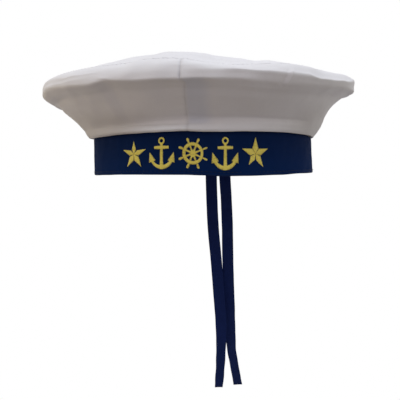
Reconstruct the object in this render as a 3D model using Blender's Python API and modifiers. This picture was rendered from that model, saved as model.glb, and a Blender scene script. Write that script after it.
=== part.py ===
"""Sailor cap: a wide white crown of four side panels and a round tip, on a navy head band, with two ribbon tails.

Metres, +Z up, front at -Y. The origin is the middle of the head opening, level with the band's lower edge.
Angles go round the cap from its front, 0, towards +X, 90 degrees.
"""

import math
from collections import namedtuple

import bmesh
import bpy
from mathutils import Vector

# Driving dimensions
HEAD_CIRCUMFERENCE = 0.578
HEAD_OVAL = 1.04  # length of the head opening over its width
BAND_HEIGHT = 0.0303
BAND_WALL = 0.0024
CLOTH_WALL = 0.0015
RIM_HALF_WIDTH = 0.1305
RIM_OVAL = 1.02
RIM_LEAN = -0.0044  # the crown leans this far to -X
RIM_TWIST = 2.0  # degrees that the crown is turned on the band
SEAM_PINCH = 0.0009  # how far each of the four side seams pulls the rim in
SEAM_PINCH_WIDTH = 5.0  # degrees
TIP_SEAM_HALF_WIDTH = 0.111
TIP_MIDDLE_HEIGHT = 0.098
TIP_FULLNESS = 1.8  # the power of the dome's fall towards its seam
RIBBON_WIDTH = 0.0114
RIBBON_THICKNESS = 0.001
SEAM_GAP = 0.0003  # between pieces that are sewn together

# Resolution
BAND_SEGMENTS = 72
PANEL_COLUMNS = 12
SPAN_STEPS = 2  # mesh rows for each row of a section table
TIP_SEGMENTS = 4 * PANEL_COLUMNS
TIP_RING_SHARES = (0.0, 0.16, 0.34, 0.52, 0.68, 0.82, 0.93, 1.0)

HEAD_HALF_WIDTH = HEAD_CIRCUMFERENCE / (2 * math.pi * math.sqrt((1 + HEAD_OVAL**2) / 2))
BAND_HALF_WIDTH = HEAD_HALF_WIDTH + BAND_WALL

# The underside of the crown, from the band out to the rim. rise is the share of the way up from the band to the
# rim, below 0 where the cloth rolls over the band's edge. The others are shares of the way out: straight where the
# cloth goes straight, flared where it turns up like a trumpet, and collared where it first stands up from the band.
UnderRow = namedtuple("UnderRow", "rise straight flared collared")
UNDERSIDE = (
    UnderRow(0.00, 0.00, 0.000, 0.00),
    UnderRow(-0.01, 0.08, 0.045, 0.05),
    UnderRow(0.06, 0.15, 0.100, 0.09),
    UnderRow(0.20, 0.21, 0.195, 0.12),
    UnderRow(0.38, 0.33, 0.290, 0.26),
    UnderRow(0.56, 0.46, 0.385, 0.44),
    UnderRow(0.73, 0.61, 0.505, 0.63),
    UnderRow(0.87, 0.76, 0.675, 0.80),
    UnderRow(0.96, 0.89, 0.880, 0.93),
)

# The rim at each side of the cap. low and high are the heights of the fold's two corners above the band's lower
# edge, and seam is the height of the tip seam. flare and collar are the shares in which the underside is flared
# and collared.
RimRow = namedtuple("RimRow", "angle low high seam flare collar")
RIM = (
    RimRow(-180, 0.0628, 0.0698, 0.0798, 0.6, 0.3),
    RimRow(-125, 0.0608, 0.0704, 0.0795, 0.4, 0.0),
    RimRow(-70, 0.0584, 0.0702, 0.0786, 0.0, 0.0),
    RimRow(-40, 0.0608, 0.0690, 0.0790, 0.4, 0.6),
    RimRow(-24, 0.0600, 0.0686, 0.0792, 0.6, 0.8),
    RimRow(-12, 0.0618, 0.0698, 0.0797, 0.8, 1.0),
    RimRow(0, 0.0618, 0.0700, 0.0792, 0.9, 1.0),
    RimRow(14, 0.0624, 0.0718, 0.0756, 1.0, 1.0),
    RimRow(50, 0.0632, 0.0724, 0.0774, 1.0, 0.8),
    RimRow(82, 0.0660, 0.0758, 0.0818, 1.0, 0.0),
    RimRow(130, 0.0640, 0.0722, 0.0800, 0.9, 0.2),
    RimRow(180, 0.0628, 0.0698, 0.0798, 0.6, 0.3),
)

# From the rim in to the tip seam. inward is the share of the way in, and rise the share of the way up.
UpperRow = namedtuple("UpperRow", "inward rise")
UPPER_SIDE = (
    UpperRow(0.20, 0.32),
    UpperRow(0.60, 0.74),
    UpperRow(1.00, 1.00),
)

# Long soft waves in the tip, which run from its front to its back. side is where the middle of the wave is.
TipWave = namedtuple("TipWave", "side width rise")
TIP_WAVES = (
    TipWave(-0.010, 0.022, 0.002),
    TipWave(0.035, 0.028, -0.001),
)

# Ribbon tails, down the back. side and back are measured from the middle of the band's back, drop from the
# band's lower edge, and turn is how far the ribbon is twisted, in degrees.
RibbonRow = namedtuple("RibbonRow", "drop side back turn")
RIBBON_LEFT = (
    RibbonRow(-0.024, -0.0040, 0.0000, 0),
    RibbonRow(0.003, -0.0038, 0.0000, 0),
    RibbonRow(0.025, -0.0028, 0.0004, 0),
    RibbonRow(0.055, -0.0008, 0.0008, 6),
    RibbonRow(0.090, 0.0022, 0.0010, 12),
    RibbonRow(0.127, 0.0052, 0.0004, 10),
    RibbonRow(0.155, 0.0067, -0.0012, 20),
    RibbonRow(0.181, 0.0063, -0.0028, 38),
    RibbonRow(0.204, 0.0049, -0.0040, 46),
    RibbonRow(0.217, 0.0037, -0.0045, 50),
)
RIBBON_RIGHT = (
    RibbonRow(-0.024, 0.0102, 0.0000, 0),
    RibbonRow(0.003, 0.0104, 0.0000, 0),
    RibbonRow(0.025, 0.0120, 0.0010, -10),
    RibbonRow(0.055, 0.0133, 0.0025, -8),
    RibbonRow(0.090, 0.0136, 0.0042, -4),
    RibbonRow(0.127, 0.0145, 0.0048, -8),
    RibbonRow(0.155, 0.0157, 0.0050, -18),
    RibbonRow(0.178, 0.0176, 0.0046, -32),
    RibbonRow(0.200, 0.0212, 0.0042, -36),
    RibbonRow(0.2145, 0.0241, 0.0040, -36),
)
RIBBON_END_SLANT = 0.0035  # each ribbon's end is cut this far off square


def blend(a, b, share):
    return a + (b - a) * share


def smooth_curve(points, steps):
    """Points along a Catmull-Rom curve that goes through all of these, steps to a span."""
    points = [Vector(point) for point in points]
    ends = [2 * points[0] - points[1], *points, 2 * points[-1] - points[-2]]
    found = []
    for before, start, end, after in zip(ends, ends[1:], ends[2:], ends[3:]):
        for step in range(steps):
            t = step / steps
            found.append(
                start
                + (end - before) * (t / 2)
                + (2 * before - 5 * start + 4 * end - after) * (t**2 / 2)
                + (3 * start - before - 3 * end + after) * (t**3 / 2)
            )
    return [*found, points[-1]]


def rim_at(angle):
    """The rim's row at any angle, in degrees, eased between the rows of the table."""
    for start, end in zip(RIM, RIM[1:]):
        if start.angle <= angle <= end.angle:
            share = (angle - start.angle) / (end.angle - start.angle)
            share = share * share * (3 - 2 * share)
            return RimRow(*(blend(a, b, share) for a, b in zip(start, end)))
    raise ValueError(f"angle {angle} is outside the rim's table")


def crown_section(angle):
    """(half width, height, share of the way out to the rim) of the outside at an angle, from band to tip seam."""
    rim = rim_at(angle)
    bottom = BAND_HEIGHT + SEAM_GAP
    from_seam = min(angle % 90, -angle % 90)
    rim_half_width = RIM_HALF_WIDTH - SEAM_PINCH * math.exp(-((from_seam / SEAM_PINCH_WIDTH) ** 2))
    rows = []
    for row in UNDERSIDE:
        out = blend(blend(row.straight, row.flared, rim.flare), row.collared, rim.collar)
        half_width = blend(BAND_HALF_WIDTH, rim_half_width, out)
        rows.append((half_width, blend(bottom, rim.low, row.rise), out))
    corner = min(0.0025, (rim.high - rim.low) / 3)
    rows.append((rim_half_width, rim.low + corner, 1.0))
    rows.append((rim_half_width, rim.high - corner, 1.0))
    for row in UPPER_SIDE:
        half_width = blend(rim_half_width, TIP_SEAM_HALF_WIDTH, row.inward)
        rows.append((half_width, blend(rim.high, rim.seam, row.rise), 1.0))
    return smooth_curve(rows, SPAN_STEPS)


def on_cap(angle, half_width, height, out):
    """The point at an angle round the cap. out is the share of the way from the head's oval to the rim's."""
    turn = math.radians(angle + RIM_TWIST * out)
    length = half_width * blend(HEAD_OVAL, RIM_OVAL, out)
    return Vector((half_width * math.sin(turn) + RIM_LEAN * out, -length * math.cos(turn), height))


def cloth_material(name, colour, roughness):
    material = bpy.data.materials.new(name)
    material.use_nodes = True
    shader = material.node_tree.nodes["Principled BSDF"]
    shader.inputs["Base Color"].default_value = (*colour, 1.0)
    shader.inputs["Roughness"].default_value = roughness
    shader.inputs["Metallic"].default_value = 0.0
    return material


def add_object(name, mesh_builder, material, parts):
    mesh = bpy.data.meshes.new(name)
    mesh_builder.to_mesh(mesh)
    mesh_builder.free()
    mesh.materials.append(material)
    mesh.shade_smooth()
    mesh.set_sharp_from_angle(angle=math.radians(50))
    made = bpy.data.objects.new(name, mesh)
    parts.objects.link(made)
    return made


def thicken(made, thickness, offset=-1.0):
    """Gives an open surface its wall, on the inner side for the default offset."""
    solidify = made.modifiers.new("Wall", "SOLIDIFY")
    solidify.thickness = thickness
    solidify.offset = offset
    solidify.use_even_offset = True


def sheet_between(rows):
    """An open surface through rows of points, each row as long as the next."""
    builder = bmesh.new()
    grid = [[builder.verts.new(point) for point in row] for row in rows]
    for lower, upper in zip(grid, grid[1:]):
        for i in range(len(lower) - 1):
            builder.faces.new((lower[i], lower[i + 1], upper[i + 1], upper[i]))
    return builder


def build_band(material, parts):
    builder = bmesh.new()
    bmesh.ops.create_cone(
        builder,
        cap_ends=False,
        segments=BAND_SEGMENTS,
        radius1=BAND_HALF_WIDTH,
        radius2=BAND_HALF_WIDTH,
        depth=BAND_HEIGHT,
    )
    bmesh.ops.scale(builder, vec=(1, HEAD_OVAL, 1), verts=builder.verts)
    bmesh.ops.translate(builder, vec=(0, 0, BAND_HEIGHT / 2), verts=builder.verts)
    band = add_object("head_band", builder, material, parts)
    thicken(band, BAND_WALL)
    edge = band.modifiers.new("Folded edges", "BEVEL")
    edge.width = BAND_WALL / 4
    edge.segments = 2
    edge.limit_method = "ANGLE"
    edge.angle_limit = math.radians(50)


def build_side_panel(name, start_angle, material, parts):
    """A quarter of the crown's side, from the band out over the rim to the tip seam."""
    half_gap = math.degrees(SEAM_GAP / 2 / BAND_HALF_WIDTH)
    first, last = start_angle + half_gap, start_angle + 90 - half_gap
    columns = []
    for i in range(PANEL_COLUMNS + 1):
        angle = blend(first, last, i / PANEL_COLUMNS)
        columns.append([on_cap(angle, *place) for place in crown_section(angle)])
    panel = add_object(name, sheet_between(list(zip(*columns))), material, parts)
    thicken(panel, CLOTH_WALL)


def tip_point(angle, share):
    """A point of the tip's outside, share of the way from its middle out to its seam."""
    seam = rim_at(angle).seam
    point = on_cap(angle, (TIP_SEAM_HALF_WIDTH - 1.5 * SEAM_GAP) * share, seam, 1.0)
    point.z = blend(TIP_MIDDLE_HEIGHT, seam, share**TIP_FULLNESS)
    for wave in TIP_WAVES:
        across = (point.x - RIM_LEAN - wave.side) / wave.width
        point.z += wave.rise * math.exp(-(across**2)) * (1 - share**2)
    return point


def build_tip(material, parts):
    """The round top of the crown, domed over the tip seam."""
    builder = bmesh.new()
    rings = []
    for share in TIP_RING_SHARES[1:]:
        angles = [360 * i / TIP_SEGMENTS - 180 for i in range(TIP_SEGMENTS)]
        rings.append([builder.verts.new(tip_point(angle, share)) for angle in angles])
    middle = builder.verts.new(tip_point(0, 0))
    for i in range(TIP_SEGMENTS):
        after = (i + 1) % TIP_SEGMENTS
        builder.faces.new((middle, rings[0][i], rings[0][after]))
        for inner, outer in zip(rings, rings[1:]):
            builder.faces.new((inner[i], outer[i], outer[after], inner[after]))
    tip = add_object("crown_tip", builder, material, parts)
    thicken(tip, CLOTH_WALL)


def build_ribbon(name, rows, end_slant, material, parts):
    """A ribbon tail, sewn on the back of the band and hanging below it. Its end is cut off at a slant."""
    back = HEAD_OVAL * BAND_HALF_WIDTH + SEAM_GAP + RIBBON_THICKNESS / 2
    stations = smooth_curve([(row.side, row.back, -row.drop, row.turn) for row in rows], SPAN_STEPS)
    edges = ([], [])
    for side, behind, height, turn in stations:
        across = Vector((math.cos(math.radians(turn)), math.sin(math.radians(turn)), 0))
        middle = Vector((side, back + behind, height))
        for edge, direction in zip(edges, (1, -1)):
            edge.append(middle + across * (direction * RIBBON_WIDTH / 2))
    edges[0][-1].z -= end_slant / 2
    edges[1][-1].z += end_slant / 2
    ribbon = add_object(name, sheet_between(edges), material, parts)
    thicken(ribbon, RIBBON_THICKNESS, offset=0.0)


def main():
    for old in list(bpy.data.objects):
        bpy.data.objects.remove(old)
    parts = bpy.data.collections.new("Sailor cap")
    bpy.context.scene.collection.children.link(parts)
    white = cloth_material("White crown cloth", (0.78, 0.77, 0.79), 0.85)
    navy = cloth_material("Navy band cloth", (0.012, 0.020, 0.085), 0.75)
    navy_ribbon = cloth_material("Navy ribbon", (0.010, 0.016, 0.080), 0.5)

    build_band(navy, parts)
    build_side_panel("side_panel_back_left", -180, white, parts)
    build_side_panel("side_panel_front_left", -90, white, parts)
    build_side_panel("side_panel_front_right", 0, white, parts)
    build_side_panel("side_panel_back_right", 90, white, parts)
    build_tip(white, parts)
    build_ribbon("ribbon_left", RIBBON_LEFT, RIBBON_END_SLANT, navy_ribbon, parts)
    build_ribbon("ribbon_right", RIBBON_RIGHT, -RIBBON_END_SLANT, navy_ribbon, parts)


main()
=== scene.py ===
from collections import namedtuple
from math import atan2, cos, degrees, pi, radians, sin, sqrt, tan

import bpy
import numpy as np
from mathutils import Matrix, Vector


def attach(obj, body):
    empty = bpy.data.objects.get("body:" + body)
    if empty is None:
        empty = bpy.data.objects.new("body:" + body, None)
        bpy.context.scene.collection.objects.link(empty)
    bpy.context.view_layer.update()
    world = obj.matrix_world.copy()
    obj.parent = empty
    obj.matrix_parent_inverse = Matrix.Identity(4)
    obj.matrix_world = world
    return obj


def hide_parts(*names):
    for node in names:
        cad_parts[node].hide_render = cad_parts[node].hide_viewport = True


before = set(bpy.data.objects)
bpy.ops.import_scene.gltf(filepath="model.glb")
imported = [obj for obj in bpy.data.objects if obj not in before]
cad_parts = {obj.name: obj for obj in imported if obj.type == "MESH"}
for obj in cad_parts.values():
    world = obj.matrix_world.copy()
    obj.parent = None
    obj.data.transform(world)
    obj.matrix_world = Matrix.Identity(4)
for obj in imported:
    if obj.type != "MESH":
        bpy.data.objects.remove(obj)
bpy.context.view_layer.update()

MM = 0.001
BODY = "root"

# ---------------------------------------------------------------- main sizes, in metres and degrees

HEAD_CIRCUMFERENCE = 0.578
HEAD_OVAL = 1.04
BAND_HEIGHT = 0.0303
BAND_WALL = 0.0024
CLOTH_WALL = 0.0012
RIM_HALF_WIDTH = 0.1293
RIM_OVAL = 1.02
RIM_LEAN = -0.0044
BAND_TWIST = 0.1
RIM_TWIST = 1.65
FRONT_TWIST = 1.3
FRONT_TWIST_WIDTH = 30.0
TIP_TWIST = 1.4
UNDER_TWIST_POWER = 1.1
SEAM_PINCH = 0.0009
SEAM_PINCH_WIDTH = 5.0
TIP_SEAM_HALF_WIDTH = 0.111
TIP_MIDDLE_HEIGHT = 0.098
TIP_FULLNESS = 1.8
RIBBON_WIDTH = 0.0114
SEAM_GAP = 0.0003
PANEL_GAP = 0.0001
TIP_GAP = 0.0001
HEAD_HALF_WIDTH = HEAD_CIRCUMFERENCE / (2 * pi * sqrt((1 + HEAD_OVAL**2) / 2))
BAND_HALF_WIDTH = HEAD_HALF_WIDTH + BAND_WALL

# ---------------------------------------------------------------- tables of the shape

# the crown's underside: share up from the band to the rim's low edge, shares out from the band to the rim
# where the cloth is straight, flared or a collar first, and how much a tuck takes back from them
UNDERSIDE = (
    (0.00, 0.00, 0.000, 0.000, 0.000),
    (-0.022, 0.085, 0.060, 0.088, -0.008),
    (0.022, 0.118, 0.100, 0.110, -0.030),
    (0.11, 0.160, 0.173, 0.112, 0.012),
    (0.17, 0.184, 0.221, 0.108, 0.064),
    (0.23, 0.225, 0.261, 0.094, 0.044),
    (0.29, 0.27, 0.294, 0.094, -0.006),
    (0.38, 0.33, 0.328, 0.200, -0.018),
    (0.56, 0.47, 0.407, 0.415, -0.008),
    (0.73, 0.620, 0.529, 0.610, 0.000),
    (0.87, 0.705, 0.682, 0.745, 0.000),
    (0.96, 0.895, 0.824, 0.870, 0.000),
)
# the crown's upper side: shares in and up from the rim to the tip seam where the rim is soft, and the same
# where it is pressed to a ridge
UPPER_SIDE = ((0.255, 0.32, 0.11, 0.20), (0.60, 0.74, 0.40, 0.67), (1.00, 1.00, 1.00, 1.00))
# all the way round: angle, heights of the rim's low and high edge, height and half width of the tip seam,
# shares of flare, collar, tuck and ridge, how far the low and the high edge lie inside the rim, and how
# sharply the low edge is creased
RIM = np.array(
    (
        (-180, 0.0628, 0.0698, 0.0798, 0.1110, 0.6, 0.3, 0.2, 0.0, 0.0, 0.0011, 0.0),
        (-125, 0.0612, 0.0704, 0.0790, 0.1125, 0.4, 0.0, 0.0, 0.0, 0.0, 0.0011, 0.0),
        (-90, 0.0594, 0.0706, 0.0772, 0.1165, 0.1, 0.0, 0.0, 0.0, 0.0, 0.0006, 0.0),
        (-72, 0.0588, 0.0708, 0.0764, 0.1190, 0.0, 0.0, 0.0, 0.1, 0.0, 0.0003, 0.0),
        (-57, 0.0626, 0.0702, 0.0769, 0.1185, 0.1, 0.1, 0.1, 0.3, 0.0, 0.0009, 0.0),
        (-42, 0.0618, 0.0692, 0.0771, 0.1165, 0.4, 0.6, 0.7, 0.4, 0.0, 0.0007, 0.2),
        (-31, 0.0609, 0.0687, 0.0776, 0.1145, 0.5, 0.7, 0.9, 0.2, 0.0, 0.0006, 0.2),
        (-25, 0.0632, 0.0691, 0.0777, 0.1130, 0.6, 0.8, 1.0, 0.0, 0.0, 0.0008, 0.1),
        (-20, 0.0621, 0.0692, 0.0782, 0.1120, 0.7, 0.9, 1.0, 0.0, 0.0, 0.0006, 0.1),
        (-14, 0.0615, 0.0706, 0.0801, 0.1110, 0.8, 1.0, 1.0, 0.25, 0.0, 0.0008, 0.2),
        (-5, 0.0621, 0.0713, 0.0803, 0.1110, 0.9, 1.0, 1.0, 0.4, 0.0, 0.0010, 0.3),
        (0, 0.0620, 0.0716, 0.0797, 0.1110, 0.9, 1.0, 0.9, 0.4, 0.0, 0.0012, 0.2),
        (9, 0.0617, 0.0717, 0.0772, 0.1110, 1.0, 1.0, 0.5, 0.3, 0.0, 0.0007, 0.0),
        (18, 0.0617, 0.0713, 0.0757, 0.1110, 1.0, 1.0, 0.1, 0.8, 0.0006, 0.0002, 0.0),
        (26, 0.0612, 0.0703, 0.0769, 0.1110, 1.0, 1.0, 0.0, 0.9, 0.0020, 0.0, 0.0),
        (34, 0.0608, 0.0694, 0.0784, 0.1110, 1.0, 0.9, 0.0, 1.0, 0.0021, 0.0, 0.0),
        (41, 0.0609, 0.0692, 0.0794, 0.1110, 1.0, 0.8, 0.0, 1.0, 0.0020, 0.0, 0.0),
        (47, 0.0613, 0.0681, 0.0797, 0.1110, 1.0, 0.7, 0.0, 1.0, 0.0016, 0.0, 0.0),
        (54, 0.0622, 0.0687, 0.0791, 0.1110, 0.8, 0.5, 0.0, 1.0, 0.0018, 0.0, 0.0),
        (66, 0.0641, 0.0706, 0.0796, 0.1110, 0.6, 0.1, 0.0, 1.0, 0.0016, 0.0, 0.2),
        (82, 0.0655, 0.0752, 0.0814, 0.1110, 0.9, 0.0, 0.0, 1.0, 0.0, 0.0, 0.6),
        (92, 0.0668, 0.0753, 0.0813, 0.1110, 1.0, 0.0, 0.0, 0.9, 0.0, 0.0001, 0.6),
        (104, 0.0675, 0.0751, 0.0811, 0.1110, 1.0, 0.0, 0.0, 0.7, 0.0, 0.0002, 0.5),
        (130, 0.0650, 0.0722, 0.0800, 0.1110, 0.9, 0.2, 0.0, 0.3, 0.0, 0.0008, 0.2),
        (180, 0.0628, 0.0698, 0.0798, 0.1110, 0.6, 0.3, 0.2, 0.0, 0.0, 0.0011, 0.0),
    )
)
RimPlace = namedtuple("RimPlace", "low high seam reach flare collar tuck ridge inset slope crease")
CORNER = 0.0025
CORNER_SHARE = 1 / 3
RIDGE_SHARPNESS = 0.85
STRAIGHT_CORNER_RISE = 0.001
MIDDLE_INSET = 0.35
MIDDLE_SLOPE = 0.25
LOW_CORNER_ROW = len(UNDERSIDE)
HIGH_CORNER_ROW = LOW_CORNER_ROW + 2
TIP_SEAM_ROW = HIGH_CORNER_ROW + len(UPPER_SIDE)
# angle, sag of the band's lower edge, and rise and lean outwards of its upper edge
BAND_EDGE = np.array(
    (
        (-180, 0.0, 0.0, 0.0),
        (-120, 0.0003, 0.0, 0.0),
        (-88, 0.0013, 0.0, 0.0),
        (-60, 0.0007, -0.0010, 0.0),
        (-48, 0.0005, -0.0009, 0.0),
        (-36, 0.0001, -0.0002, 0.0),
        (-26, 0.0, 0.0002, 0.0),
        (-17, 0.0, 0.0006, 0.0),
        (-8, 0.0, 0.0010, 0.0),
        (-2, 0.0, 0.0013, 0.0),
        (7, 0.0004, 0.0008, 0.0),
        (14, 0.0010, 0.0008, 0.0),
        (27, 0.0008, 0.0014, -0.0001),
        (45, 0.0002, 0.0016, -0.0004),
        (62, -0.0008, 0.0011, -0.0008),
        (84, -0.0011, 0.0007, -0.0022),
        (130, -0.0002, 0.0, -0.0004),
        (180, 0.0, 0.0, 0.0),
    )
)
BAND_RIPPLE = 0.0003
BAND_RIPPLES = 3
BAND_RIPPLE_START = 2.985
BAND_RIPPLE_TOP_SHARE = 0.6
# angle and height of the pressed edges at the rim's low and high corners
RIM_EDGES = np.array(
    (
        (-180, 0.0003, 0.0),
        (-90, 0.0, 0.0),
        (-30, 0.0, 0.0),
        (0, 0.0001, 0.0),
        (18, 0.0001, 0.0002),
        (34, 0.0, 0.0003),
        (54, 0.0, 0.0004),
        (84, 0.0002, 0.0003),
        (130, 0.0003, 0.0001),
        (180, 0.0003, 0.0),
    )
)
PRESSED_WIDTH = 0.0014
HIGH_EDGE_SHIFT = 0.0005
# side, width and rise of the soft waves across the tip
TIP_WAVES = (
    (-0.015, 0.020, 0.0026),
    (0.014, 0.008, 0.0009),
    (0.026, 0.032, -0.0022),
    (0.035, 0.007, -0.0008),
    (0.0495, 0.009, -0.0026),
    (-0.037, 0.009, 0.0013),
    (-0.067, 0.015, -0.0060),
)
# drop, side and back in metres, and turn in degrees, of each ribbon from its sewn end down to its cut end
RIBBON_LEFT = np.array(
    (
        (-0.024, -0.0036, 0.0000, 0),
        (0.003, -0.0034, 0.0000, 0),
        (0.025, -0.0028, 0.0004, 0),
        (0.055, -0.0014, 0.0008, 6),
        (0.090, 0.0018, 0.0010, 12),
        (0.127, 0.0048, 0.0004, 10),
        (0.155, 0.0070, -0.0012, 20),
        (0.181, 0.0070, -0.0028, 38),
        (0.204, 0.0060, -0.0040, 46),
        (0.2175, 0.0049, -0.0045, 50),
    )
)
RIBBON_RIGHT = np.array(
    (
        (-0.024, 0.0102, 0.0000, 0),
        (0.003, 0.0104, 0.0000, 0),
        (0.025, 0.0117, 0.0010, -8),
        (0.055, 0.0128, 0.0025, -4),
        (0.090, 0.0133, 0.0042, -4),
        (0.127, 0.0145, 0.0048, -8),
        (0.155, 0.0157, 0.0050, -18),
        (0.178, 0.0169, 0.0046, -30),
        (0.200, 0.0207, 0.0042, -34),
        (0.2168, 0.0239, 0.0040, -35),
    )
)
LEFT_END_SLANT = -0.0013
RIGHT_END_SLANT = 0.0014
CAD_RIBBON_THICKNESS = 0.001

# ---------------------------------------------------------------- fine shape of the cloth

PROFILE_STEPS = 7
PANEL_COLUMNS = 240
PANEL_EDGE_CROWDING = 1.35
TIP_COLUMNS = 360
TIP_RINGS = 70
TIP_EDGE_CROWDING = 1.25
TIP_FIRST_RING = 0.004
BAND_COLUMNS = 480
CLOTH_MAP = "cloth"
CLOTH_MAP_RADIUS = 0.115

SEAM_DIP_UNDER = 0.00014
SEAM_DIP_OVER = 0.00055
SEAM_DIP_WIDTH = 0.0012
SEAM_SWELL = 0.0002
SEAM_SWELL_WIDTH = 0.0042
PUCKER = 0.00022
PUCKER_REACH = 0.0042
PUCKER_PITCH = 0.0058
PUCKER_MEAN = 0.5
TIP_SEAM_DIP = 0.0009
TIP_SEAM_DIP_WIDTH = 0.0009
# pitch, reach and seed of the ripples along the tip seam
SIDE_RIPPLE = (0.0075, 0.005, 13)
TIP_RIPPLE = (0.0078, 0.006, 31)
# how strong they are all round, and the rise, angle and width of their bunch left of the front seam
EVEN_RIPPLE = 0.35
BUNCHED_RIPPLE = (1.5, -5, 7)
WAVES_IN_ONE = 10
WAVELENGTH_RANGE = (0.7, 1.5)
# rise, wavelength and seed of the soft waves that make puckers, ripples and dashes uneven
PUCKER_CHANGE = (0.5, 0.03, 12)
PUCKER_DRIFT = (1.5, 0.02, 11)
RIPPLE_DRIFT = (1.8, 0.03)
DASH_DRIFT = (1.2, 0.02, 14)
# rise, wavelength and seed of the soft waves in the cloth of the side, the tip and the band
SIDE_WAVES = ((0.00055, 0.055, 21), (0.00022, 0.021, 22))
TIP_CLOTH_WAVES = ((0.0007, 0.07, 32), (0.00022, 0.024, 33))
BAND_WAVES = ((0.00012, 0.012, 41), (0.0002, 0.03, 42))
BAND_HOLD = 0.02
SIDE_SEAM_HOLD = 0.012
TIP_SEAM_HOLD = 0.015

# marks on the side's cloth: a stripe of painted shade beside each seam, painted light on a strip above the
# band, painted shade on the sides, and seams darkened by soiling and painted shade, with painted pucker
# shadows at the front
# the stripe of painted shade beside each seam spans the seam allowance's width
ALLOWANCE = 0.0158
ALLOWANCE_START = 0.0035
ALLOWANCE_FADE = 0.012
ALLOWANCE_FOOT = 0.007
ALLOWANCE_FOOT_FADE = 0.006
FRONT_REACH = 45
UNSEEN_ALLOWANCE = 0.5
# height, places and fade of the painted light on the strip of cloth above the band
STRIP_LIGHT_TOP = 0.0090
STRIP_LIGHT_PLACES = ((0.22, 10, 40), (0.85, -14, 16))
STRIP_LIGHT_FADE = 0.004
SHADE = 0.6
SHADE_STARTS = (-8, 38)
SHADE_SPREAD = 25
SHADE_TOP = 0.034
SHADE_TOP_FADE = 0.016
SEAM_MARK = 0.60
SEAM_MARK_WIDTH = 0.0013
UNDER_SEAM_MARK = 0.45
# each with its strength, its place and its width
TOP_SEAM_MARK = (0.3, 0.0005, 0.003)
RIM_SEAM_MARK = (0.7, 0.7, 0.9)
TIP_SEAM_MARK = (0.5, 0, 0.0010)
BUNCH_MARK = (3.4, 0.0006, 0.0024)
BUNCH_PLACE = (1, -4.7, 4.5)
BAND_EDGE_MARK = (1, 0.0004, 0.0009)
TIP_EDGE_MARK_WIDTH = 0.0012
DASH_PITCH = 0.0046
DASH_MEAN = 0.55
DASH_CHANGE = 0.45

# how much of a fold's length it takes to rise from each end
FOLD_FADE = 0.3
# angle and height along the cloth of both ends, half width and rise of each fold, in degrees and mm
Fold = namedtuple("Fold", "angle_a up_a angle_b up_b width rise")
FOLDS = (
    Fold(-27.5, 58.6, -18.6, 55.4, 0.9, -0.30),
    Fold(-47.0, 62.5, -28.0, 64.5, 1.0, 0.35),
    Fold(-50.0, 58.0, -33.0, 60.6, 1.1, 0.15),
    Fold(36.0, 58.6, 33.6, 46.0, 1.2, 0.60),
    Fold(34.0, 57.0, 31.8, 47.0, 1.2, -0.50),
    Fold(20.0, 67.5, 36.0, 64.0, 2.6, -0.35),
    Fold(27.0, 63.2, 31.4, 61.0, 1.6, -0.40),
    Fold(42.0, 55.0, 47.0, 52.4, 1.4, 0.45),
    Fold(17.0, 48.8, 30.0, 45.2, 2.0, -0.20),
    Fold(28.0, 45.6, 40.0, 44.4, 2.0, -0.20),
)

# ---------------------------------------------------------------- small helpers


def blend(a, b, share):
    return a + (b - a) * share


def smooth(share):
    share = np.clip(share, 0, 1)
    return share * share * (3 - 2 * share)


def bell(distance, width):
    return np.exp(-((distance / width) ** 2))


def hump(place, rise, middle, width):
    return rise * bell(place - middle, width)


def curve_through(points, steps, measured):
    """A smooth curve through the points on axis -2, with steps to a span, whose length is that of the first
    measured columns."""
    gaps = np.diff(points, axis=-2)
    spans = np.maximum(np.linalg.norm(gaps[..., :measured], axis=-1, keepdims=True), 1e-6)
    slopes = gaps / spans
    before, after = spans[..., :-1, :], spans[..., 1:, :]
    inner = (slopes[..., :-1, :] * after + slopes[..., 1:, :] * before) / (before + after)
    tangents = np.concatenate((slopes[..., :1, :], inner, slopes[..., -1:, :]), axis=-2)
    t = (np.arange(steps) / steps)[:, None]
    start, end = points[..., :-1, None, :], points[..., 1:, None, :]
    leave = (spans * tangents[..., :-1, :])[..., None, :]
    arrive = (spans * tangents[..., 1:, :])[..., None, :]
    flat = start * (2 * t**3 - 3 * t**2 + 1) + leave * (t**3 - 2 * t**2 + t)
    flat = flat + end * (3 * t**2 - 2 * t**3) + arrive * (t**3 - t**2)
    flat = flat.reshape(*flat.shape[:-3], -1, flat.shape[-1])
    return np.concatenate((flat, points[..., -1:, :]), axis=-2)


def unit(vectors):
    return vectors / np.linalg.norm(vectors, axis=-1, keepdims=True)


def length_along(points, axis):
    steps = np.linalg.norm(np.diff(points, axis=axis), axis=-1)
    total = np.cumsum(steps, axis=axis)
    return np.concatenate((np.zeros_like(np.take(total, [0], axis=axis)), total), axis=axis)


def undulation(points, rise, wavelength, seed):
    """Soft seeded waves in space, about -rise to rise."""
    dice = np.random.default_rng(seed)
    total = np.zeros(points.shape[:-1])
    for _ in range(WAVES_IN_ONE):
        direction = dice.normal(size=3)
        direction /= np.linalg.norm(direction)
        length = wavelength * dice.uniform(*WAVELENGTH_RANGE)
        total += np.sin(points @ direction * (2 * pi / length) + dice.uniform(0, 2 * pi))
    return rise * (total / sqrt(WAVES_IN_ONE))


def add_object(name, data):
    added = bpy.data.objects.new(name, data)
    bpy.context.scene.collection.objects.link(added)
    return added


def new_object(name, mesh, material, *nodes, slot):
    """A piece of the cap, which stands for these CAD nodes."""
    piece = add_object(name, mesh)
    mesh.materials.append(material)
    mesh.shade_smooth()
    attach(piece, BODY)
    if nodes:
        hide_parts(*nodes)
    return piece


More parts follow.
